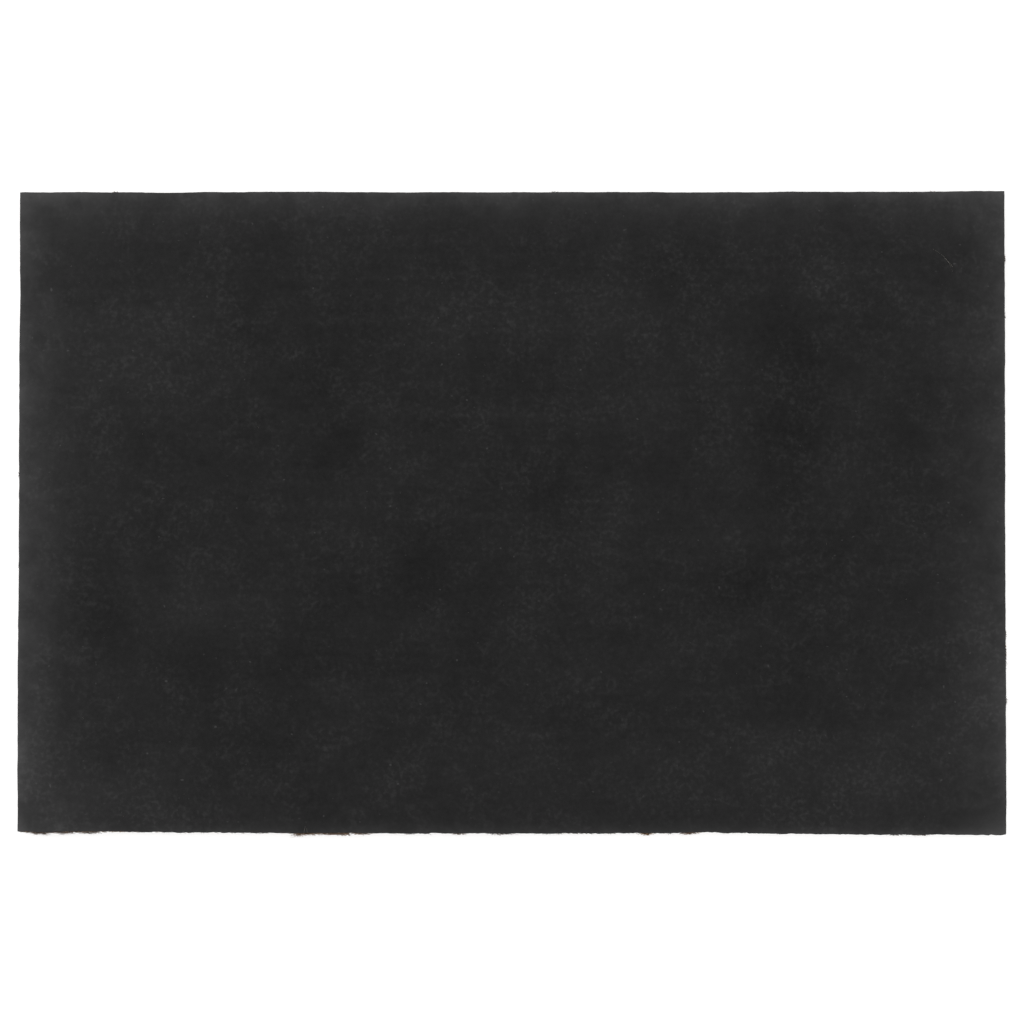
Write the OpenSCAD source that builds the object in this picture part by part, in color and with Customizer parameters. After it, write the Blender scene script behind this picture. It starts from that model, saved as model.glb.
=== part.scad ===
// Coir door mat lying pile side down: a thin moulded backing with rows of cut
// coir yarn set in it. The origin is under the mat's centre, in the plane of the
// pile's tips. +X runs along the length, +Y along the width, and +Z points up to
// the backing's outer face, the one that lies on the floor in use.

/* [Mat] */
// Length of the mat
mat_length = 1000; // [400:10:1500]
// Width of the mat
mat_width = 650; // [300:10:1000]
// Height from the pile's tips to the backing's outer face
mat_height = 17; // [12:0.5:30]
// Radius of the upright corners
corner_r = 2; // [1:0.5:20]

/* [Backing] */
// Thickness of the PVC backing
backing_t = 2.5; // [2:0.1:5]

/* [Pile] */
// Number of pile bands, each made as one piece
band_count = 50; // [10:1:59]
// Rows of cut yarn in each band
rows_per_band = 2; // [1:1:4]
// Depth to which the yarn's roots are set in the backing
root_depth = 1.2; // [0.4:0.1:1.6]
// Width of a root, as a share of the distance between rows
root_share = 0.5; // [0.3:0.05:0.8]
// Space between the tips of two rows, as a share of the distance between rows
gap_share = 0.06; // [0.02:0.02:0.2]
// Height over which a row flares from its root, as a share of the pile's height
flare_share = 0.35; // [0.1:0.05:0.6]
// Distance from the mat's cut edge to the pile
edge_inset = 1; // [0.5:0.5:5]

/* [Hidden] */
$fn = 48;
overcut = 1;

row_count = band_count * rows_per_band;
row_pitch = (mat_width - 2 * edge_inset) / row_count;
row_length = mat_length - 2 * edge_inset;

// Heights above the pile's tips
root_top = mat_height - backing_t + root_depth;
backing_inner = mat_height - backing_t;
flare_end = backing_inner * (1 - flare_share);

// Half widths across one row, and the chamfer that blunts its tips
root_half = root_share * row_pitch / 2;
tip_half = (1 - gap_share) * row_pitch / 2;
tip_chamfer = 0.12 * row_pitch;

// One row seen from its end, as [across, up] points from the root round to the root
row_profile = [
    [-root_half, root_top],
    [root_half, root_top],
    [root_half, backing_inner],
    [tip_half, flare_end],
    [tip_half, tip_chamfer],
    [tip_half - tip_chamfer, 0],
    [tip_chamfer - tip_half, 0],
    [-tip_half, tip_chamfer],
    [-tip_half, flare_end],
    [-root_half, backing_inner]
];

// Rows are numbered from 0 at the -Y edge, bands from 1
function row_y(row) = (row - (row_count - 1) / 2) * row_pitch;
function two_digits(n) = str(n < 10 ? "0" : "", n);
function band_name(band) = str("pile_band_", two_digits(band));

// Flat outline with round corners
module mat_outline() {
    square([mat_length - 2 * corner_r, mat_width], center = true);
    square([mat_length, mat_width - 2 * corner_r], center = true);
    for (sx = [-1, 1])
        for (sy = [-1, 1])
            translate([sx * (mat_length / 2 - corner_r), sy * (mat_width / 2 - corner_r)])
                circle(r = corner_r);
}

// Groove in the backing's inner face that holds one row's roots
module root_groove() {
    translate([-row_length / 2, -root_half, backing_inner - overcut])
        cube([row_length, 2 * root_half, root_depth + overcut]);
}

// One row of cut yarn ends, standing side by side as one dense brush
module yarn_row() {
    rotate([90, 0, 90])
        linear_extrude(height = row_length, center = true)
            polygon(row_profile);
}

module pvc_backing() {
    color([0.16, 0.16, 0.16])
        difference() {
            translate([0, 0, backing_inner])
                linear_extrude(height = backing_t)
                    mat_outline();
            for (row = [0:row_count - 1])
                translate([0, row_y(row), 0])
                    root_groove();
        }
}

module pile_band(band) {
    color([0.51, 0.41, 0.33])
        for (row = [(band - 1) * rows_per_band:band * rows_per_band - 1])
            translate([0, row_y(row), 0])
                yarn_row();
}

pvc_backing();
for (band = [1:band_count])
    pile_band(band);
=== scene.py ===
import math

import bpy
import numpy as np
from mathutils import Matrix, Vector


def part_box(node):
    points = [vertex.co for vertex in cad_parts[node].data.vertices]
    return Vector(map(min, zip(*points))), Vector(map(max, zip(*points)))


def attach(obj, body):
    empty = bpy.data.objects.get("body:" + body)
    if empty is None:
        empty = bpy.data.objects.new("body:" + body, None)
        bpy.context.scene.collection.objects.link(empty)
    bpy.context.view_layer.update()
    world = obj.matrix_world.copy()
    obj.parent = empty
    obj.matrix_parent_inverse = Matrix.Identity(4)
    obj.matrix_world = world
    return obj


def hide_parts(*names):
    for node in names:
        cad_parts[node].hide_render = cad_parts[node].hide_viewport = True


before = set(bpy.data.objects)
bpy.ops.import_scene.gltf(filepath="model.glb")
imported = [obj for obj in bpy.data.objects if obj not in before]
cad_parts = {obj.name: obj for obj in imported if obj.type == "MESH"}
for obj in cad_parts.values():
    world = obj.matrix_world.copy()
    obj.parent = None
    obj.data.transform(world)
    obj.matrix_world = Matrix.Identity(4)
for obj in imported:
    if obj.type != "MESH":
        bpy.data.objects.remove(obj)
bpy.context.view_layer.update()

# ---------------------------------------------------------------------------
# A coir door mat lying pile side down: a thin black PVC sheet over rows of cut
# coir yarn. Lengths are in metres. MM turns a number of millimetres into them.
# ---------------------------------------------------------------------------

MM = 0.001
BODY = "root"
SEED = 65100

BAND_NODES = sorted(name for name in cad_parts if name.startswith("pile_band_"))
sheet_low, sheet_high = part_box("pvc_backing")
HALF_LENGTH = sheet_high.x
HALF_WIDTH = sheet_high.y
TOP_Z = sheet_high.z
INNER_Z = sheet_low.z
SHEET_T = TOP_Z - INNER_Z

first_low, first_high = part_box(BAND_NODES[0])
second_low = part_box(BAND_NODES[1])[0]
ROWS_PER_BAND = 2
ROW_PITCH = (second_low.y - first_low.y) / ROWS_PER_BAND
PILE_HALF_LENGTH = first_high.x
PILE_HALF_WIDTH = -first_low.y


# ---------------------------------------------------------------------------
# Meshes
# ---------------------------------------------------------------------------

STRAND_SIDES = 3
NEARLY_UPRIGHT = 0.8         # a direction's height above which it counts as upright


class MeshParts:
    """Collects closed pieces of mesh, each with a tone from 0 to 1, and makes one object of them."""

    def __init__(self):
        self.points = []
        self.triangles = []
        self.tones = []
        self.count = 0

    def add(self, points, triangles, tones):
        self.points.append(points)
        self.triangles.append(triangles + self.count)
        self.tones.append(np.broadcast_to(tones, len(points)))
        self.count += len(points)

    def build(self, name, material):
        mesh = bpy.data.meshes.new(name)
        mesh.from_pydata(np.concatenate(self.points), [], np.concatenate(self.triangles))
        tone = mesh.attributes.new("tone", "FLOAT", "POINT")
        tone.data.foreach_set("value", np.concatenate(self.tones).astype(np.float32))
        mesh.shade_smooth()
        mesh.materials.append(material)
        return place(bpy.data.objects.new(name, mesh))


def place(piece):
    """Links a finished piece into the scene and hangs it on the mat's body."""
    bpy.context.scene.collection.objects.link(piece)
    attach(piece, BODY)
    return piece


def unit(vectors):
    return vectors / np.linalg.norm(vectors, axis=-1, keepdims=True)


def cross_axes(along, rng):
    """Directions across each strand, one for each of its sides, from a random start."""
    upright = np.abs(along[:, 2:]) >= NEARLY_UPRIGHT
    helper = np.where(upright, [[1.0, 0.0, 0.0]], [[0.0, 0.0, 1.0]])
    u = unit(np.cross(along, helper))
    v = np.cross(along, u)
    steps = np.arange(STRAND_SIDES) * math.tau / STRAND_SIDES
    angle = rng.uniform(0, math.tau, (len(along), 1)) + steps
    return np.cos(angle)[..., None] * u[:, None] + np.sin(angle)[..., None] * v[:, None]


def bent_strands(rng, roots, tips, bow, root_r, tip_r, steps):
    """Closed three-sided strands that bow sideways between root and tip.

    Gives their points, their triangles and the number of points in each strand.
    """
    t = np.linspace(0, 1, steps + 1)
    along = tips - roots
    centre = roots[:, None] + along[:, None] * t[:, None] + bow[:, None] * (4 * t * (1 - t))[:, None]
    radius = root_r[:, None] + (tip_r - root_r)[:, None] * t
    across = cross_axes(unit(along), rng)
    points = centre[:, :, None] + radius[:, :, None, None] * across[:, None]
    one = [(0, 2, 1)]
    for step in range(steps):
        for side in range(STRAND_SIDES):
            a = STRAND_SIDES * step + side
            b = STRAND_SIDES * step + (side + 1) % STRAND_SIDES
            one += [(a, b, b + STRAND_SIDES), (a, b + STRAND_SIDES, a + STRAND_SIDES)]
    last = STRAND_SIDES * steps
    one.append((last, last + 1, last + 2))
    each = STRAND_SIDES * (steps + 1)
    triangles = np.array(one)[None] + each * np.arange(len(roots))[:, None, None]
    return points.reshape(-1, 3), triangles.reshape(-1, 3), each


def blunt_spikes(rng, roots, tips, tip_r):
    """Closed fibres with a cut, three-cornered end at the tip and a point at the hidden root.

    Gives their points, their triangles and the number of points in each fibre.
    """
    along = tips - roots
    ring = tips[:, None] + tip_r[:, None, None] * cross_axes(unit(along), rng)
    points = np.concatenate([roots[:, None], ring], axis=1)
    one = np.array([(0, 2, 1), (0, 3, 2), (0, 1, 3), (1, 2, 3)])
    each = points.shape[1]
    triangles = one[None] + each * np.arange(len(roots))[:, None, None]
    return points.reshape(-1, 3), triangles.reshape(-1, 3), each


# ---------------------------------------------------------------------------
# Materials
# ---------------------------------------------------------------------------

class Nodes:
    """A material's node tree with short calls to add and join nodes."""

    def __init__(self, name):
        self.material = bpy.data.materials.new(name)
        self.material.use_nodes = True
        self.tree = self.material.node_tree
        self.shader = self.tree.nodes["Principled BSDF"]

    def add(self, kind, inputs=(), **settings):
        """A new node; inputs maps socket names or numbers to values or to other nodes' outputs."""
        node = self.tree.nodes.new("ShaderNode" + kind)
        for key, value in settings.items():
            setattr(node, key, value)
        for key, value in dict(inputs).items():
            self.join(value, node.inputs[key])
        return node

    def join(self, value, socket):
        if isinstance(value, bpy.types.NodeSocket):
            self.tree.links.new(value, socket)
        else:
            socket.default_value = value

    def math(self, operation, *values):
        node = self.add("Math", dict(enumerate(values)), operation=operation)
        return node.outputs[0]

    def total(self, values):
        found = values[0]
        for value in values[1:]:
            found = self.math("ADD", found, value)
        return found

    def noise(self, vector, scale, detail=2.0, roughness=0.5, distortion=0.0):
        inputs = {"Vector": vector, "Scale": scale, "Detail": detail}
        inputs.update({"Roughness": roughness, "Distortion": distortion})
        return self.add("TexNoise", inputs).outputs[0]

    def stretch(self, vector, scale):
        return self.add("Mapping", {"Vector": vector, "Scale": scale}).outputs[0]

    def vector_math(self, operation, inputs, output=0):
        return self.add("VectorMath", inputs, operation=operation).outputs[output]

    def remap(self, value, low, high, to_low=0.0, to_high=1.0, smooth=True):
        inputs = {0: value, 1: low, 2: high, 3: to_low, 4: to_high}
        kind = "SMOOTHSTEP" if smooth else "LINEAR"
        return self.add("MapRange", inputs, interpolation_type=kind).outputs[0]

    def vary(self, noise, swing, low, high):
        """Goes straight from low to high while the noise goes from half minus swing to half plus it."""
        return self.remap(noise, 0.5 - swing, 0.5 + swing, low, high, smooth=False)

    def bump(self, height, distance, strength, **under):
        """A bumped normal, on top of the one given as Normal, if any."""
        inputs = {"Height": height, "Distance": distance, "Strength": strength, **under}
        return self.add("Bump", inputs).outputs[0]

    def ramp(self, value, stops):
        node = self.add("ValToRGB", {0: value})
        elements = node.color_ramp.elements
        while len(elements) < len(stops):
            elements.new(0.5)
        for element, (position, colour) in zip(elements, stops):
            element.position = position
            element.color = (*colour, 1)
        return node.outputs[0]

    def set(self, **values):
        """Sets the shader's sockets; an underscore in a name stands for a space."""
        for name, value in values.items():
            self.join(value, self.shader.inputs[name.replace("_", " ")])


# The backing's light and dark clouds: centre x, y, half sizes x, y, turn in degrees, strength
CLOUDS = [
    (0.335, 0.240, 0.130, 0.055, 0, 0.24),
    (0.345, 0.120, 0.075, 0.055, 0, 0.12),
    (-0.370, 0.165, 0.120, 0.110, 0, 0.32),
    (-0.300, -0.095, 0.120, 0.045, 0, 0.20),
    (0.020, 0.200, 0.210, 0.050, 0, 0.18),
    (0.110, 0.110, 0.130, 0.050, 0, 0.10),
    (0.300, -0.265, 0.230, 0.080, 0, 0.24),
    (-0.390, -0.290, 0.140, 0.070, 0, 0.26),
    (-0.080, -0.255, 0.130, 0.050, 0, 0.10),
    (-0.490, -0.240, 0.050, 0.110, 0, 0.25),
    (0.490, -0.190, 0.060, 0.170, 0, 0.35),
    (-0.005, 0.098, 0.190, 0.012, -3, 0.13),
    (-0.070, -0.003, 0.080, 0.010, 0, 0.10),
    (0.190, 0.150, 0.120, 0.090, 0, 0.14),
    (0.325, 0.040, 0.050, 0.110, 0, 0.14),
    (0.425, -0.200, 0.070, 0.070, 0, 0.16),
    (-0.455, -0.300, 0.075, 0.055, 0, 0.15),
    (0.100, -0.255, 0.075, 0.050, 0, 0.14),
    (-0.325, 0.305, 0.050, 0.045, 0, 0.18),
    (0.000, 0.000, 0.060, 0.045, 0, 0.12),
    (0.285, 0.100, 0.070, 0.210, 0, -0.18),
    (-0.185, 0.110, 0.060, 0.120, 0, -0.20),
    (0.030, 0.030, 0.080, 0.140, 0, -0.16),
    (-0.100, -0.065, 0.120, 0.055, 0, -0.18),
    (0.230, -0.080, 0.160, 0.055, 0, -0.16),
    (-0.220, -0.155, 0.160, 0.030, 0, -0.16),
    (-0.425, -0.100, 0.055, 0.120, 0, -0.28),
    (-0.275, 0.200, 0.055, 0.110, 0, -0.14),
    (0.400, 0.110, 0.065, 0.090, 0, -0.12),
    (-0.275, -0.080, 0.050, 0.060, 0, -0.12),
    (0.080, -0.200, 0.110, 0.035, 0, -0.10),
]

# Painted light along each edge, where the sheet catches the light: strength and reach of its broad
# part, then of the outermost rim itself
PAINTED_EDGE_LIGHT = {
    "left": (1.50, 38 * MM, 0.74, 5 * MM),
    "right": (1.20, 36 * MM, 0.72, 3 * MM),
    "back": (1.45, 19 * MM, 0.46, 5 * MM),
    "front": (0.18, 45 * MM, 1.10, 5 * MM),
}

PVC_BLACK = (0.0120, 0.0119, 0.0120)
ROOT_BROWN = (0.10, 0.055, 0.028, 1)

# Noises: scale, detail, roughness and, in one, distortion. The scale is in swings per metre, or
# one where the noise's place is stretched first, by the swings per metre along x, y and z
HAZE = (15.0, 4.0, 0.6)
MOTTLE = (110.0, 3.0, 0.6)
GRAIN = (300.0, 2.0, 0.6)
FINE_GRAIN = (1400.0, 2.0, 0.5)
SPECKS = (260.0, 0.0)
ROOT_FLECKS = (900.0, 2.0, 0.6)
EDGE_LIGHT_BREAKUP = (38.0, 4.0, 0.6)
CHALK_CLUMPS = (30.0, 4.0, 0.65)
CHALK_BLOTS = (220.0, 1.5, 0.55, 0.3)
FIBRE_PATCHES = (260.0, 3.0, 0.6)
PILE_PATCHES = (9.0, 2.0, 0.5)
DUST_PATCHES = (400.0, 3.0, 0.6)
FLOOR_CLOUDS = (3.0, 3.0, 0.5)
STREAKS = (1.0, 3.0, 0.55)
STREAK_STRETCH = (5.0, 95.0, 5.0)
SCRATCHES = (1.0, 2.0, 0.6)
SCRATCH_STRETCH = (2600, 2600, 180)

CHALK_STRENGTH = 0.85
LEAST_LIGHT = 0.3            # what the darkest marks leave of the PVC's own black

COIR_TONES = [
    (0.00, (0.030, 0.016, 0.009)),
    (0.30, (0.105, 0.055, 0.027)),
    (0.60, (0.255, 0.150, 0.077)),
    (0.85, (0.430, 0.285, 0.155)),
    (1.00, (0.600, 0.445, 0.280)),
]
DUSTY_TONES = [
    (0.30, (0.085, 0.076, 0.068)),
    (0.70, (0.220, 0.205, 0.190)),
]


def cloud(nodes, vector, centre_x, centre_y, half_x, half_y, turn, strength):
    """One soft elliptical cloud on the backing's face, strongest at its centre."""
    local = nodes.vector_math("SUBTRACT", {0: vector, 1: (centre_x, centre_y, 0)})
    rotation = {"Vector": local, "Angle": -math.radians(turn)}
    turned = nodes.add("VectorRotate", rotation, rotation_type="Z_AXIS").outputs[0]
    scaled = nodes.vector_math("MULTIPLY", {0: turned, 1: (1 / half_x, 1 / half_y, 0)})
    distance = nodes.vector_math("LENGTH", {0: scaled}, output=1)
    return nodes.remap(distance, 0.0, 1.0, strength, 0.0)


def painted_edge_light(nodes, position, vector):
    """Painted light that grows towards the edges, where they catch the light, broken up by noise."""
    distances = {
        "left": nodes.math("ADD", position["X"], HALF_LENGTH),
        "right": nodes.math("SUBTRACT", HALF_LENGTH, position["X"]),
        "back": nodes.math("SUBTRACT", HALF_WIDTH, position["Y"]),
        "front": nodes.math("ADD", position["Y"], HALF_WIDTH),
    }
    layers = []
    for side, (broad, broad_reach, rim, rim_reach) in PAINTED_EDGE_LIGHT.items():
        for strength, reach in ((broad, broad_reach), (rim, rim_reach)):
            faded = nodes.math("EXPONENT", nodes.math("DIVIDE", distances[side], -reach))
            layers.append(nodes.math("MULTIPLY", faded, strength))
    broken = nodes.remap(nodes.noise(vector, *EDGE_LIGHT_BREAKUP), 0.25, 0.75, 0.65, 1.35)
    return nodes.math("MULTIPLY", nodes.total(layers), broken)


def chalk(nodes, vector, clouds):
    """Pale dust caught in the grain: clumps of small blots, thickest where the clouds are light."""
    blots = nodes.remap(nodes.noise(vector, *CHALK_BLOTS), 0.42, 0.80)
    light_clouds = nodes.math("MAXIMUM", clouds, 0.0)
    gathered = nodes.math("MULTIPLY_ADD", light_clouds, 0.35, nodes.noise(vector, *CHALK_CLUMPS))
    clumps = nodes.remap(gathered, 0.36, 0.72)
    amount = nodes.remap(light_clouds, 0.0, 0.35, 0.85, 1.1, smooth=False)
    return nodes.math("MULTIPLY", nodes.math("MULTIPLY", blots, clumps), amount)


def root_flecks(nodes, position, vector):
    """Where the coir's roots show as brown flecks along the foot of the cut edge."""
    depth = nodes.math("SUBTRACT", TOP_Z, position["Z"])
    low_edge = nodes.remap(depth, 0.85 * SHEET_T, 1.15 * SHEET_T)
    flecks = nodes.noise(nodes.stretch(vector, (1, 1, 0.3)), *ROOT_FLECKS)
    return nodes.math("MULTIPLY", low_edge, nodes.remap(flecks, 0.52, 0.62))


def pvc_material():
    """Matt black soft PVC: faint grain, chalky clouds, streaks along the rows and painted light along
    the edges.
    """
    nodes = Nodes("pvc_black")
    vector = nodes.add("TexCoord").outputs["Object"]
    position = nodes.add("SeparateXYZ", {0: vector}).outputs

    clouds = nodes.total([cloud(nodes, vector, *one) for one in CLOUDS])
    haze = nodes.vary(nodes.noise(vector, *HAZE), 0.3, -0.22, 0.22)
    streaks = nodes.noise(nodes.stretch(vector, STREAK_STRETCH), *STREAKS)
    streaks = nodes.vary(streaks, 0.3, -0.08, 0.08)
    mottle = nodes.vary(nodes.noise(vector, *MOTTLE), 0.3, -0.16, 0.16)
    grain = nodes.noise(vector, *GRAIN)
    grain_light = nodes.vary(grain, 0.3, -0.13, 0.15)
    specks = nodes.remap(nodes.noise(vector, *SPECKS), 0.83, 0.93, 0.0, 1.6)
    # Painted light: the sheet's colour made lighter towards its edges, where they catch the light
    edge_light = painted_edge_light(nodes, position, vector)
    chalky = nodes.math("MULTIPLY", chalk(nodes, vector, clouds), CHALK_STRENGTH)
    light = nodes.total([1.0, clouds, haze, streaks, mottle, grain_light, specks, chalky, edge_light])
    light = nodes.math("MAXIMUM", light, LEAST_LIGHT)
    lit = nodes.vector_math("SCALE", {0: PVC_BLACK, 3: light})

    colours = {0: root_flecks(nodes, position, vector), 6: lit, 7: ROOT_BROWN}
    coarse = nodes.bump(grain, 0.25 * MM, 0.7)
    nodes.set(
        Base_Color=nodes.add("Mix", colours, data_type="RGBA").outputs[2],
        Roughness=nodes.vary(grain, 0.2, 0.58, 0.68),
        Specular_IOR_Level=0.05,
        Normal=nodes.bump(nodes.noise(vector, *FINE_GRAIN), 0.03 * MM, 0.5, Normal=coarse),
    )
    return nodes.material


def coir_material():
    """Dry coir fibre: each strand has its own brown, with paler and darker stretches along it."""
    nodes = Nodes("coir_fibre")
    vector = nodes.add("TexCoord").outputs["Object"]
    tone = nodes.add("Attribute", attribute_name="tone").outputs["Fac"]
    along = nodes.remap(nodes.noise(vector, *FIBRE_PATCHES), 0.25, 0.75, -0.16, 0.16)
    broad = nodes.remap(nodes.noise(vector, *PILE_PATCHES), 0.3, 0.7, -0.06, 0.06)
    scratch = nodes.noise(nodes.stretch(vector, SCRATCH_STRETCH), *SCRATCHES)
    nodes.set(
        Base_Color=nodes.ramp(nodes.total([tone, along, broad]), COIR_TONES),
        Roughness=nodes.vary(scratch, 0.2, 0.62, 0.88),
        Specular_IOR_Level=0.35,
        Sheen_Weight=0.15,
        Sheen_Roughness=0.5,
        Normal=nodes.bump(scratch, 0.05 * MM, 0.6),
    )
    return nodes.material


def dusty_fibre_material():
    """Stray fibres and lint on the face, greyed by dust."""
    nodes = Nodes("dusty_fibre")
    vector = nodes.add("TexCoord").outputs["Object"]
    patches = nodes.noise(vector, *DUST_PATCHES)
    nodes.set(
        Base_Color=nodes.ramp(patches, DUSTY_TONES),
        Roughness=nodes.vary(patches, 0.2, 0.75, 0.92),
        Specular_IOR_Level=0.2,
    )
    return nodes.material


def floor_material():
    """A white table lit from within a little, so the mat's shadow on it stays faint."""
    nodes = Nodes("floor_white")
    vector = nodes.add("TexCoord").outputs["Object"]
    shade = nodes.vary(nodes.noise(vector, *FLOOR_CLOUDS), 0.2, 0.51, 0.53)
    nodes.set(
        Base_Color=nodes.add("CombineColor", {0: shade, 1: shade, 2: shade}).outputs[0],
        Roughness=0.9,
        Specular_IOR_Level=0.1,
        Emission_Color=(1, 1, 1, 1),
        Emission_Strength=0.60,
    )
    return nodes.material


# ---------------------------------------------------------------------------
# The backing sheet
# ---------------------------------------------------------------------------

SHEET_STEP_X = 2.5 * MM
SHEET_STEP_Y = 4 * MM
EDGE_WAVELENGTHS = [60 * MM, 30 * MM, 15 * MM, 8 * MM, 5.5 * MM]
RIM = 0.5 * MM               # the face's grid stops this far inside the cut edge
RAGGED = 0.05 * MM           # how uneven the cut itself is
WAVE_FALLOFF = 12 * MM       # how far in from the edge its waves reach
EDGE_DROOP = 0.7 * MM        # how far the sheet bends down over its outermost stretch
DROOP_REACH = 35 * MM
BROAD_LIE = 0.22 * MM        # the sheet's rise and fall over the pile
FINE_LIE = 0.05 * MM
SHARP_ANGLE = math.radians(50)

# Each cut edge: how far it leans out at its right or back end, the size of its longest random
# waves, how fast shorter ones get smaller, and its fray
CUT_EDGES = {
    "left": (-0.55 * MM, 0.11 * MM, 0.5, 0.0),
    "right": (0.08 * MM, 0.11 * MM, 0.5, 0.0),
    "back": (0.39 * MM, 0.11 * MM, 0.5, 0.0),
    "front": (1.34 * MM, 0.15 * MM, 0.05, 0.13 * MM),
}

# Each edge's broad swells and dips, as in the photo: middle and half width as shares of the edge,
# counted from its left or front end, and how far out
EDGE_SWELLS = {
    "left": [
        (0.00, 0.12, -0.35 * MM),
        (0.24, 0.08, 0.20 * MM),
        (0.48, 0.20, -0.30 * MM),
        (0.83, 0.05, -0.60 * MM),
        (0.93, 0.04, 0.30 * MM),
    ],
    "right": [
        (0.15, 0.20, 0.25 * MM),
        (0.48, 0.14, -0.20 * MM),
        (0.82, 0.25, 0.20 * MM),
    ],
    "back": [
        (0.05, 0.10, 0.25 * MM),
        (0.15, 0.04, -0.45 * MM),
        (0.28, 0.13, 0.50 * MM),
        (0.48, 0.06, -0.20 * MM),
        (0.67, 0.14, -0.30 * MM),
        (1.00, 0.10, 0.90 * MM),
    ],
    "front": [
        (0.08, 0.10, -0.40 * MM),
        (0.27, 0.06, 0.45 * MM),
        (0.42, 0.14, 0.30 * MM),
        (0.695, 0.085, -1.30 * MM),
        (0.93, 0.13, 0.60 * MM),
    ],
}

# Rings down the cut edge, from the face to the underside: inset, then depth as a share of the sheet
RIM_RINGS = [(0.12 * MM, 0.04), (0.0, 0.14), (0.05 * MM, 0.5), (0.0, 0.8), (0.25 * MM, 1.0)]


def smooth_random(rng, places, wavelength):
    """Smooth random values, about one swing per wavelength, at places along a line."""
    knots = rng.normal(size=int(np.ptp(places) / wavelength * 2) + 4)
    at = (places - places.min()) / wavelength * 2
    low = np.floor(at).astype(int)
    share = at - low
    share = share * share * (3 - 2 * share)
    return knots[low] * (1 - share) + knots[low + 1] * share


def cut_edge(side):
    """Places along a cut edge, measured from its middle, and how far it strays outwards at each."""
    half, step = HALF_LENGTH, SHEET_STEP_X
    if side in ("left", "right"):
        half, step = HALF_WIDTH, SHEET_STEP_Y
    places = np.linspace(-half + RIM, half - RIM, round(2 * half / step) + 1)
    lean, size, smoothness, fray = CUT_EDGES[side]
    line = lean * places / half
    for middle, half_width, out in EDGE_SWELLS[side]:
        offset = (places / (2 * half) + 0.5 - middle) / half_width
        line = line + out * np.clip(1 - offset ** 2, 0, 1) ** 2
    rng = np.random.default_rng([SEED, list(CUT_EDGES).index(side)])
    for wavelength in EDGE_WAVELENGTHS:
        height = size * (wavelength / EDGE_WAVELENGTHS[0]) ** smoothness
        line = line + height * smooth_random(rng, places, wavelength)
    return places, line + fray * rng.normal(size=len(places))


def fade(distance, reach):
    """One at no distance, falling softly to nothing at the reach."""
    return np.clip(1 - distance / reach, 0, 1) ** 2


def undulation(x, y):
    """The sheet's gentle lie over the pile, as height above the flat face: waves 0.1 to 1 m long."""
    broad = np.sin(6.1 * x + 1.3) * np.cos(7.9 * y - 0.4) + 0.6 * np.sin(11.3 * x - 8.7 * y + 2.1)
    fine = np.sin(43 * x + 17 * y) * np.cos(39 * y - 9 * x + 0.8)
    return BROAD_LIE * broad + FINE_LIE * fine


def sheet_grid():
    """The face's grid of points, its outline straying a little from straight."""
    y, left_line = cut_edge("left")
    x, back_line = cut_edge("back")
    right_line = cut_edge("right")[1]
    front_line = cut_edge("front")[1]
    grid_x, grid_y = np.meshgrid(x, y)
    left = left_line[:, None] * fade(grid_x - x[0], WAVE_FALLOFF)
    right = right_line[:, None] * fade(x[-1] - grid_x, WAVE_FALLOFF)
    back = back_line * fade(y[-1] - grid_y, WAVE_FALLOFF)
    front = front_line * fade(grid_y - y[0], WAVE_FALLOFF)
    edge_distance = np.minimum(HALF_LENGTH - np.abs(grid_x), HALF_WIDTH - np.abs(grid_y))
    droop = EDGE_DROOP * fade(edge_distance, DROOP_REACH)
    height = TOP_Z + undulation(grid_x, grid_y) - droop
    return np.stack([grid_x + right - left, grid_y + back - front, height], axis=-1)


def rim_loop(number):
    """The grid's border points in order, anticlockwise from above."""
    sides = [number[0, :-1], number[:-1, -1], number[-1, :0:-1], number[:0:-1, 0]]
    return np.concatenate(sides)


def quads(near_start, near_end, far_end, far_start):
    """Four-sided faces from the numbers of their corners."""
    return np.stack([near_start, near_end, far_end, far_start], axis=-1).reshape(-1, 4).tolist()


def sheet_shape():
    """The sheet's points and faces: the face's grid, rings down the cut edge, and one face beneath."""
    rng = np.random.default_rng(SEED)
    grid = sheet_grid()
    number = np.arange(grid.shape[0] * grid.shape[1]).reshape(grid.shape[:2])
    faces = quads(number[:-1, :-1], number[:-1, 1:], number[1:, 1:], number[1:, :-1])
    points = [grid.reshape(-1, 3)]

    loop = rim_loop(number)
    border = points[0][loop]
    following = np.roll(border, -1, axis=0) - np.roll(border, 1, axis=0)
    outward = unit(np.stack([following[:, 1], -following[:, 0], np.zeros(len(loop))], axis=1))
    previous = loop
    for inset, depth in RIM_RINGS:
        ragged = rng.normal(0, RAGGED, (len(loop), 1))
        ring = border + outward * (RIM - inset + ragged)
        ring[:, 2] = border[:, 2] - depth * SHEET_T
        current = sum(len(p) for p in points) + np.arange(len(loop))
        points.append(ring)
        faces += quads(previous, current, np.roll(current, -1), np.roll(previous, -1))
        previous = current
    faces.append(previous[::-1].tolist())
    return np.concatenate(points), faces


def build_backing(material):
    """The PVC sheet as one closed piece."""
    points, faces = sheet_shape()
    mesh = bpy.data.meshes.new("backing_sheet")
    mesh.from_pydata(points, [], faces)
    mesh.shade_smooth()
    mesh.set_sharp_from_angle(angle=SHARP_ANGLE)
    mesh.materials.append(material)
    sheet = place(bpy.data.objects.new("backing_sheet", mesh))
    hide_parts("pvc_backing")
    return sheet


# ---------------------------------------------------------------------------
# The pile
# ---------------------------------------------------------------------------

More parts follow.
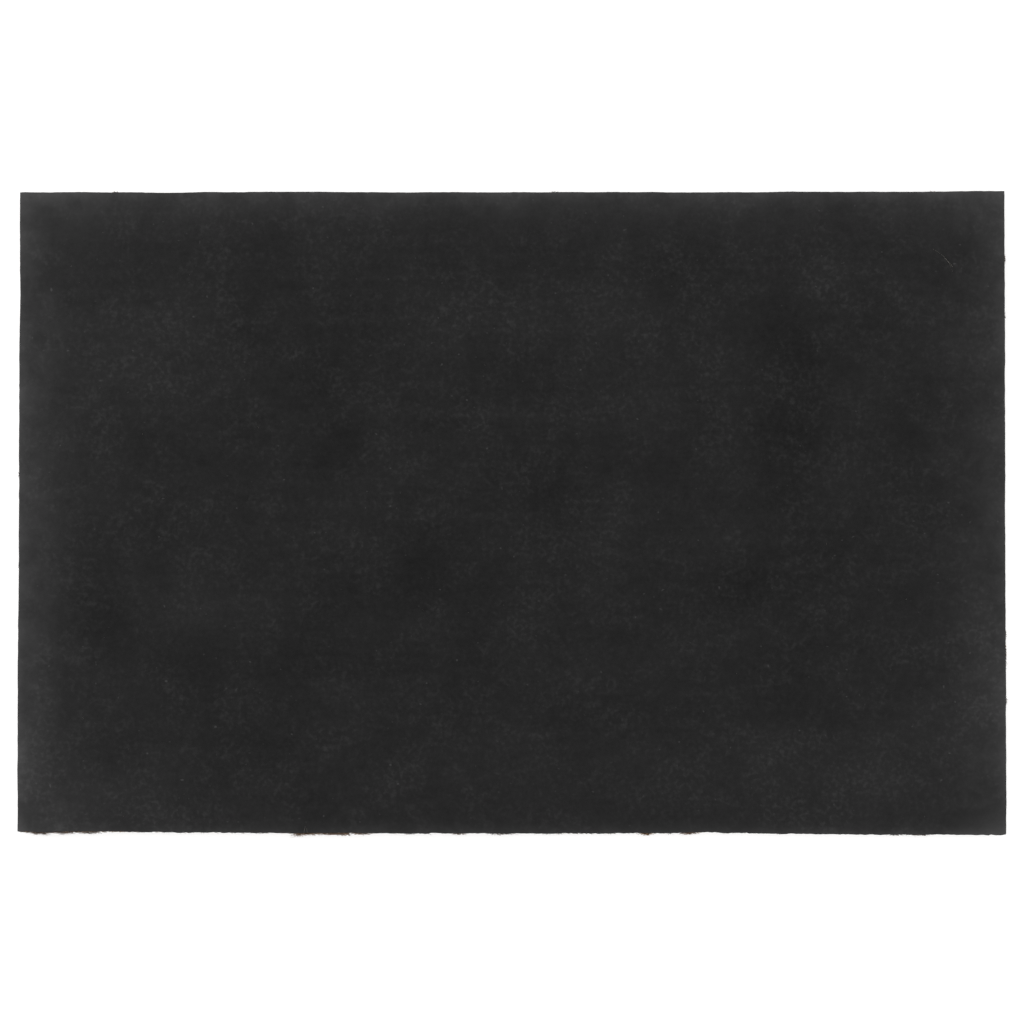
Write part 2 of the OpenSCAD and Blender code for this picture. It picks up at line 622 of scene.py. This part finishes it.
YARN_PITCH = ROW_PITCH
FIBRES_PER_YARN = 7
YARN_SPREAD = 0.56 * ROW_PITCH    # how far out from its middle a yarn end opens
ROOT_SPREAD = 0.45                # how far apart its roots are, as a share of its tips
ROOT_SINK = 0.5 * MM              # how far roots run up into the backing
BUNDLE_ROOT_HEIGHTS = (7, 10)     # in millimetres, as are the radii
BUNDLE_RADII = (0.7, 1.25)
YARN_TONES = (0.55, 0.10)         # mean and spread
FIBRE_TONE_SPREAD = 0.14          # between the fibres of one yarn

CORE_LOW_Z = 4.5 * MM             # the fibres are matted together above this height
CORE_WIDE_Z = 0.6 * INNER_Z       # and are widest at this one
CORE_INSET = 3.5 * MM             # the matted heart keeps this far behind the pile's cut sides
CORE_HALF_WIDTH = 0.46 * ROW_PITCH
CORE_LUMPS = 0.5 * MM
# Painted shade: the matted heart's tone is kept dark to stand for the shadow deep between the yarn ends
CORE_SHADE_TONE = 0.18

SIDE_SPACING = 0.8 * MM           # between the fibres of a cut side, along it
SIDE_LAYERS = 6
SIDE_DEPTH = 4 * MM
SIDE_GATHER = 0.30                # how much of the way to its yarn's middle a fibre's tip leans
SIDE_MOST_OUT = 1.1 * MM          # how far a tip may stand out past the cut
SIDE_ROOT_RADII = (0.17, 0.31)    # in millimetres
SIDE_TIP_RADII = (0.10, 0.24)
SIDE_TONES = (0.60, 0.16)         # mean and spread


def add_core(parts, rng, row_y):
    """The matted heart of one row, lumpy and coloured dark as painted shade for the shadowed depth of
    the pile, from just behind the tips to inside the backing.
    """
    reach = PILE_HALF_LENGTH - CORE_INSET
    steps = round(2 * reach / YARN_PITCH)
    half = CORE_HALF_WIDTH
    right = [(0.6 * half, INNER_Z + ROOT_SINK), (half, CORE_WIDE_Z), (0.8 * half, CORE_LOW_Z)]
    left = [(-y, z) for y, z in right]
    outline = np.array([left[0], *right, left[2], left[1]])
    sides = len(outline)
    lumps = rng.normal(0, CORE_LUMPS, (steps + 1, sides, 2))
    lumps[:, :2] = 0  # the two top corners, inside the backing, stay in line
    points = np.empty((steps + 1, sides, 3))
    points[..., 0] = np.linspace(-reach, reach, steps + 1)[:, None]
    points[..., 1:] = outline + lumps
    most_y = PILE_HALF_WIDTH - CORE_INSET
    points[..., 1] = np.clip(points[..., 1] + row_y, -most_y, most_y)
    step, side = np.meshgrid(np.arange(steps), np.arange(sides), indexing="ij")
    a = step * sides + side
    b = step * sides + (side + 1) % sides
    walls = np.stack([a, b, b + sides, a, b + sides, a + sides], axis=-1).reshape(-1, 3)
    start = np.array([(0, i + 1, i) for i in range(1, sides - 1)])
    end = steps * sides + np.array([(0, i, i + 1) for i in range(1, sides - 1)])
    triangles = np.concatenate([walls, start, end])[:, ::-1]
    parts.add(points.reshape(-1, 3), triangles, CORE_SHADE_TONE)


def add_yarn_ends(parts, rng, row_y):
    """One row's cut yarn ends: each opens into a few thick bundles of fibre."""
    count = round(2 * PILE_HALF_LENGTH / YARN_PITCH)
    centres = (np.arange(count) + 0.5) / count * 2 * PILE_HALF_LENGTH - PILE_HALF_LENGTH
    centres = np.repeat(centres + rng.normal(0, 0.5 * MM, count), FIBRES_PER_YARN)
    n = len(centres)
    turn = rng.uniform(0, math.tau, n)
    away = np.stack([np.cos(turn), np.sin(turn)], axis=1)
    away *= (YARN_SPREAD * np.sqrt(rng.uniform(0, 1, n)))[:, None]
    base = np.stack([centres, np.full(n, row_y)], axis=1)
    roots = np.column_stack([base + away * ROOT_SPREAD, rng.uniform(*BUNDLE_ROOT_HEIGHTS, n) * MM])
    tips = np.column_stack([base + away, np.abs(rng.normal(0, 0.8, n)) * MM])
    tips[:, 0] = np.clip(tips[:, 0], -PILE_HALF_LENGTH, PILE_HALF_LENGTH)
    tips[:, 1] = np.clip(tips[:, 1], -PILE_HALF_WIDTH, PILE_HALF_WIDTH)
    points, triangles, each = blunt_spikes(rng, roots, tips, rng.uniform(*BUNDLE_RADII, n) * MM)
    points[:, 2] = np.maximum(points[:, 2], 0.0)
    yarn_tone = np.repeat(rng.normal(*YARN_TONES, count), FIBRES_PER_YARN)
    tones = np.clip(yarn_tone + rng.normal(0, FIBRE_TONE_SPREAD, n), 0.1, 1)
    parts.add(points, triangles, np.repeat(tones, each))


def side_line(start, end, outward):
    """A side's start, direction along it, outward direction and length, from flat coordinates."""
    start, end, outward = (np.array([*v, 0.0]) for v in (start, end, outward))
    length = np.linalg.norm(end - start)
    return start, (end - start) / length, outward, length


def add_cut_side(parts, rng, start, end, outward):
    """Fibres standing along a cut side of the pile; outward points away from the mat."""
    start, along, outward, length = side_line(start, end, outward)
    n = round(length / SIDE_SPACING) * SIDE_LAYERS
    place_along = rng.uniform(0, length, n)
    depth = SIDE_DEPTH * rng.uniform(0, 1, n) ** 1.3
    base = start + along * place_along[:, None] - outward * depth[:, None]
    roots = base + [0, 0, INNER_Z + ROOT_SINK]

    # Every yarn leans its own way and has its own tone, and its fibres gather towards its middle
    yarn = np.floor(place_along / YARN_PITCH).astype(int)
    to_yarn = (yarn + 0.5) * YARN_PITCH - place_along
    yarn_lean = rng.normal(0, 0.45, yarn.max() + 1)[yarn]
    yarn_tone = rng.normal(0, 0.07, yarn.max() + 1)[yarn]
    lean_out = (rng.normal(0.30, 0.45, n) + 0.5 * yarn_lean) * MM
    lean_out = np.minimum(lean_out, depth + SIDE_MOST_OUT)
    lean_along = SIDE_GATHER * to_yarn + (yarn_lean + rng.normal(0, 1.0, n)) * MM
    tips = base + outward * lean_out[:, None] + along * lean_along[:, None]
    tips[:, 2] = 0.3 * MM + np.abs(rng.normal(0, 1.0, n)) * MM

    bow_out = rng.normal(0, 0.35, n)[:, None] * MM
    bow_along = rng.normal(0, 0.6, n)[:, None] * MM
    bow = outward * bow_out + along * bow_along
    root_r = rng.uniform(*SIDE_ROOT_RADII, n) * MM
    tip_r = rng.uniform(*SIDE_TIP_RADII, n) * MM
    points, triangles, each = bent_strands(rng, roots, tips, bow, root_r, tip_r, 2)
    # Painted shade: fibres set further in from the cut are made a little darker, as the pile's recess
    # would shade them
    tones = rng.normal(*SIDE_TONES, n) + yarn_tone - 0.06 * depth / SIDE_DEPTH
    tones = np.clip(tones, 0.05, 1)
    parts.add(points, triangles, np.repeat(tones, each))


def build_band(number, node, material):
    """One band of pile: two rows of yarn ends, with the cut sides that belong to it."""
    low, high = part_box(node)
    rng = np.random.default_rng(SEED + number)
    parts = MeshParts()
    middle = (low.y + high.y) / 2
    for row in range(ROWS_PER_BAND):
        row_y = middle + (row - (ROWS_PER_BAND - 1) / 2) * ROW_PITCH
        add_core(parts, rng, row_y)
        add_yarn_ends(parts, rng, row_y)
    for side in (-1, 1):
        x = side * PILE_HALF_LENGTH
        add_cut_side(parts, rng, (x, low.y), (x, high.y), (side, 0))
    if number == 1:
        add_cut_side(parts, rng, (low.x, low.y), (high.x, low.y), (0, -1))
    if number == len(BAND_NODES):
        add_cut_side(parts, rng, (low.x, high.y), (high.x, high.y), (0, 1))
    band = parts.build(f"coir_band_{number:02d}", material)
    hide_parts(node)
    return band


# ---------------------------------------------------------------------------
# Loose fibres
# ---------------------------------------------------------------------------

# Where fibres stand out past the sheet, as in the photo: first and last share of the edge, counted
# from its left or front end, then the fibres' reach, number and tone
FRONT_FRINGE = [
    (0.006, 0.033, 3.6 * MM, 320, 0.10),
    (0.030, 0.059, 3.5 * MM, 320, 0.12),
    (0.056, 0.083, 3.3 * MM, 280, 0.10),
    (0.085, 0.275, 1.7 * MM, 260, 0.05),
    (0.277, 0.304, 3.9 * MM, 420, 0.36),
    (0.297, 0.357, 3.0 * MM, 760, 0.32),
    (0.357, 0.438, 1.2 * MM, 110, 0.05),
    (0.440, 0.453, 2.1 * MM, 90, 0.32),
    (0.477, 0.500, 1.9 * MM, 110, 0.15),
    (0.500, 0.625, 1.3 * MM, 200, 0.05),
    (0.630, 0.641, 4.4 * MM, 220, 0.42),
    (0.656, 0.662, 1.5 * MM, 30, 0.10),
    (0.674, 0.687, 3.0 * MM, 200, 0.38),
    (0.690, 0.765, 1.0 * MM, 80, 0.05),
    (0.768, 0.775, 1.4 * MM, 24, 0.05),
    (0.882, 0.894, 1.3 * MM, 50, 0.10),
    (0.900, 0.922, 1.5 * MM, 100, 0.25),
]
RIGHT_FRINGE = [
    (0.200, 0.212, 1.8 * MM, 50, 0.10),
    (0.253, 0.312, 1.4 * MM, 180, 0.25),
    (0.303, 0.313, 2.4 * MM, 60, 0.30),
    (0.800, 0.812, 1.6 * MM, 50, 0.10),
    (0.890, 0.900, 2.8 * MM, 100, 0.32),
]
LEFT_FRINGE = [
    (0.412, 0.420, 1.4 * MM, 30, 0.10),
    (0.554, 0.562, 1.4 * MM, 30, 0.10),
]
BACK_FRINGE = [
    (0.0935, 0.0985, 3.0 * MM, 50, 0.30),
    (0.541, 0.548, 1.6 * MM, 40, 0.05),
    (0.925, 0.930, 1.7 * MM, 34, 0.30),
]
CLUMP_WIDTH = 6 * MM         # of the tufts the fringe gathers in
FRINGE_RUN = 14 * MM         # fibres run along the edge by about a quarter of this, or of their stretch
FRINGE_TONE_SPREAD = 0.15
FRINGE_ROOTS_INSIDE = (0.5, 3.0)      # millimetres in from the sheet's edge
FRINGE_ROOTS_BELOW = (0.0, 2.5)       # and below its underside
FRINGE_TIPS_BELOW = (-1.0, 4.0)
FRINGE_RADII = (0.13, 0.26)
FRINGE_SEED = SEED + 1000

# Fibres that lie on the face: middle x, y, heading in degrees, length, bow, radius
FACE_FIBRES = [
    (0.4367, 0.2554, -48, 31 * MM, 3.7 * MM, 0.07 * MM),
    (0.4432, 0.2530, -48, 12 * MM, 0.4 * MM, 0.17 * MM),
    (-0.2095, -0.3210, 76, 6 * MM, 0.3 * MM, 0.15 * MM),
    (-0.2070, -0.3220, 108, 5 * MM, 0.3 * MM, 0.15 * MM),
]
FACE_FIBRE_TONE = 0.5
LINT_COUNT = 36
LINT_LENGTHS = (0.5, 1.8)    # in millimetres
LINT_RADIUS = 0.08 * MM
FACE_SEED = SEED + 2000


def add_fringe(parts, rng, side, stretches, start, end, outward):
    """Loose fibres that curl out from under one side of the sheet over the given stretches."""
    places, line = cut_edge(side)
    start, along, outward, length = side_line(start, end, outward)
    for first, last, reach, n, tone in stretches:
        at = rng.uniform(first, last, n) * length
        swell = np.sin(math.pi * (at / length - first) / (last - first)) ** 0.5
        clumps = np.clip(0.8 + 0.4 * smooth_random(rng, at, CLUMP_WIDTH), 0.45, 1.3)
        farthest = reach * swell * clumps
        edge = np.interp(at - length / 2, places, line)
        inside = rng.uniform(*FRINGE_ROOTS_INSIDE, n) * MM
        roots = start + along * at[:, None] + outward * (edge - inside)[:, None]
        roots[:, 2] = INNER_Z - rng.uniform(*FRINGE_ROOTS_BELOW, n) * MM
        run = rng.normal(0, 0.25, n) * min((last - first) * length, FRINGE_RUN)
        out = farthest * rng.uniform(0, 1, n) ** 0.7
        tips = start + along * (at + run)[:, None] + outward * (edge + out)[:, None]
        tips[:, 2] = INNER_Z - rng.uniform(*FRINGE_TIPS_BELOW, n) * MM
        bow = outward * (farthest * rng.uniform(0.0, 0.5, n))[:, None]
        bow[:, 2] = rng.normal(0, 0.4, n) * MM
        radius = rng.uniform(*FRINGE_RADII, n) * MM
        points, triangles, each = bent_strands(rng, roots, tips, bow, radius, radius * 0.7, 4)
        tones = np.clip(rng.normal(tone, FRINGE_TONE_SPREAD, n), 0.02, 1)
        parts.add(points, triangles, np.repeat(tones, each))


def build_fringes(material):
    """One piece of loose fibres for each edge of the sheet."""
    front_left = (-HALF_LENGTH, -HALF_WIDTH)
    front_right = (HALF_LENGTH, -HALF_WIDTH)
    back_left = (-HALF_LENGTH, HALF_WIDTH)
    back_right = (HALF_LENGTH, HALF_WIDTH)
    edges = {
        "front": (FRONT_FRINGE, front_left, front_right, (0, -1)),
        "right": (RIGHT_FRINGE, front_right, back_right, (1, 0)),
        "left": (LEFT_FRINGE, front_left, back_left, (-1, 0)),
        "back": (BACK_FRINGE, back_left, back_right, (0, 1)),
    }
    fringes = []
    for number, (side, edge) in enumerate(edges.items()):
        parts = MeshParts()
        add_fringe(parts, np.random.default_rng(FRINGE_SEED + number), side, *edge)
        fringes.append(parts.build(f"fringe_{side}", material))
    return fringes


def face_height(x, y):
    """Height of the sheet's face at a place away from its edges."""
    return TOP_Z + undulation(x, y)


def scattered_lint(rng):
    """Bits of lint at random on the face, in the same columns as FACE_FIBRES, turned by radians."""
    return np.column_stack([
        rng.uniform(-0.95, 0.95, LINT_COUNT) * HALF_LENGTH,
        rng.uniform(-0.95, 0.95, LINT_COUNT) * HALF_WIDTH,
        rng.uniform(0, math.pi, LINT_COUNT),
        rng.uniform(*LINT_LENGTHS, LINT_COUNT) * MM,
        rng.normal(0, 0.25, LINT_COUNT) * MM,
        np.full(LINT_COUNT, LINT_RADIUS),
    ])


def build_face_fibres(material):
    """A few coir fibres and bits of lint that lie on the black face."""
    rng = np.random.default_rng(FACE_SEED)
    placed = np.array(FACE_FIBRES)
    placed[:, 2] = np.radians(placed[:, 2])
    x, y, turn, length, bend, radius = np.concatenate([placed, scattered_lint(rng)]).T
    heading = np.stack([np.cos(turn), np.sin(turn)], axis=1)
    middle = np.stack([x, y], axis=1)
    half = heading * length[:, None] / 2
    roots, tips = (
        np.column_stack([end, face_height(end[:, 0], end[:, 1]) + 0.7 * radius])
        for end in (middle - half, middle + half)
    )
    lift = np.full(len(bend), 0.05 * MM)
    bow = np.column_stack([-heading[:, 1] * bend, heading[:, 0] * bend, lift])
    points, triangles, _ = bent_strands(rng, roots, tips, bow, radius, radius * 0.6, 6)
    parts = MeshParts()
    parts.add(points, triangles, FACE_FIBRE_TONE)
    return parts.build("face_fibres", material)


# ---------------------------------------------------------------------------
# Stage
# ---------------------------------------------------------------------------

CAMERA_DISTANCE = 2.5
CAMERA_TILT = math.radians(0.9)   # away from straight down, towards the mat's front
LENGTH_IN_FRAME = 0.9640          # the mat's length as a share of the picture's width
SENSOR_WIDTH = 36                 # in millimetres, as Blender wants it
FLOOR_HALF = 20.0

# Softboxes, aimed at the mat: place, size and power in watts
SOFTBOXES = {
    "key_softbox": ((-2.6, 1.9, 2.2), 2.0, 60),
    "fill_softbox": ((2.4, -1.2, 2.4), 2.4, 14),
}


def build_floor(material):
    mesh = bpy.data.meshes.new("floor")
    corners = [(-1, -1), (1, -1), (1, 1), (-1, 1)]
    points = [(x * FLOOR_HALF, y * FLOOR_HALF, 0) for x, y in corners]
    mesh.from_pydata(points, [], [(0, 1, 2, 3)])
    mesh.materials.append(material)
    floor = bpy.data.objects.new("floor", mesh)
    bpy.context.scene.collection.objects.link(floor)


def add_softbox(name, location, size, power):
    light = bpy.data.lights.new(name, "AREA")
    light.shape = "SQUARE"
    light.size = size
    light.energy = power
    lamp = bpy.data.objects.new(name, light)
    lamp.location = location
    lamp.rotation_mode = "QUATERNION"
    lamp.rotation_quaternion = (-lamp.location).to_track_quat("-Z", "Y")
    bpy.context.scene.collection.objects.link(lamp)


def add_world():
    """Even white light from all round."""
    world = bpy.data.worlds.new("studio")
    world.use_nodes = True
    background = world.node_tree.nodes["Background"]
    background.inputs["Color"].default_value = (1.0, 1.0, 1.0, 1)
    background.inputs["Strength"].default_value = 1.0
    bpy.context.scene.world = world


def add_camera():
    """The photo's view: from straight above, but for a slight tilt."""
    data = bpy.data.cameras.new("camera")
    data.sensor_width = SENSOR_WIDTH
    data.lens = data.sensor_width * CAMERA_DISTANCE * LENGTH_IN_FRAME / (2 * HALF_LENGTH)
    camera = bpy.data.objects.new("camera", data)
    forward = CAMERA_DISTANCE * math.sin(CAMERA_TILT)
    height = CAMERA_DISTANCE * math.cos(CAMERA_TILT)
    camera.location = (0, -forward, TOP_Z + height)
    camera.rotation_euler = (CAMERA_TILT, 0, 0)
    bpy.context.scene.collection.objects.link(camera)
    bpy.context.scene.camera = camera


def build_stage():
    build_floor(floor_material())
    for name, (location, size, power) in SOFTBOXES.items():
        add_softbox(name, location, size, power)
    add_world()
    add_camera()
    bpy.context.scene.view_settings.view_transform = "Standard"


# ---------------------------------------------------------------------------
# The scene
# ---------------------------------------------------------------------------

build_stage()
pvc = pvc_material()
coir = coir_material()

backing_sheet = build_backing(pvc)
bands = [build_band(number, node, coir) for number, node in enumerate(BAND_NODES, start=1)]

loose = build_fringes(coir) + [build_face_fibres(dusty_fibre_material())]
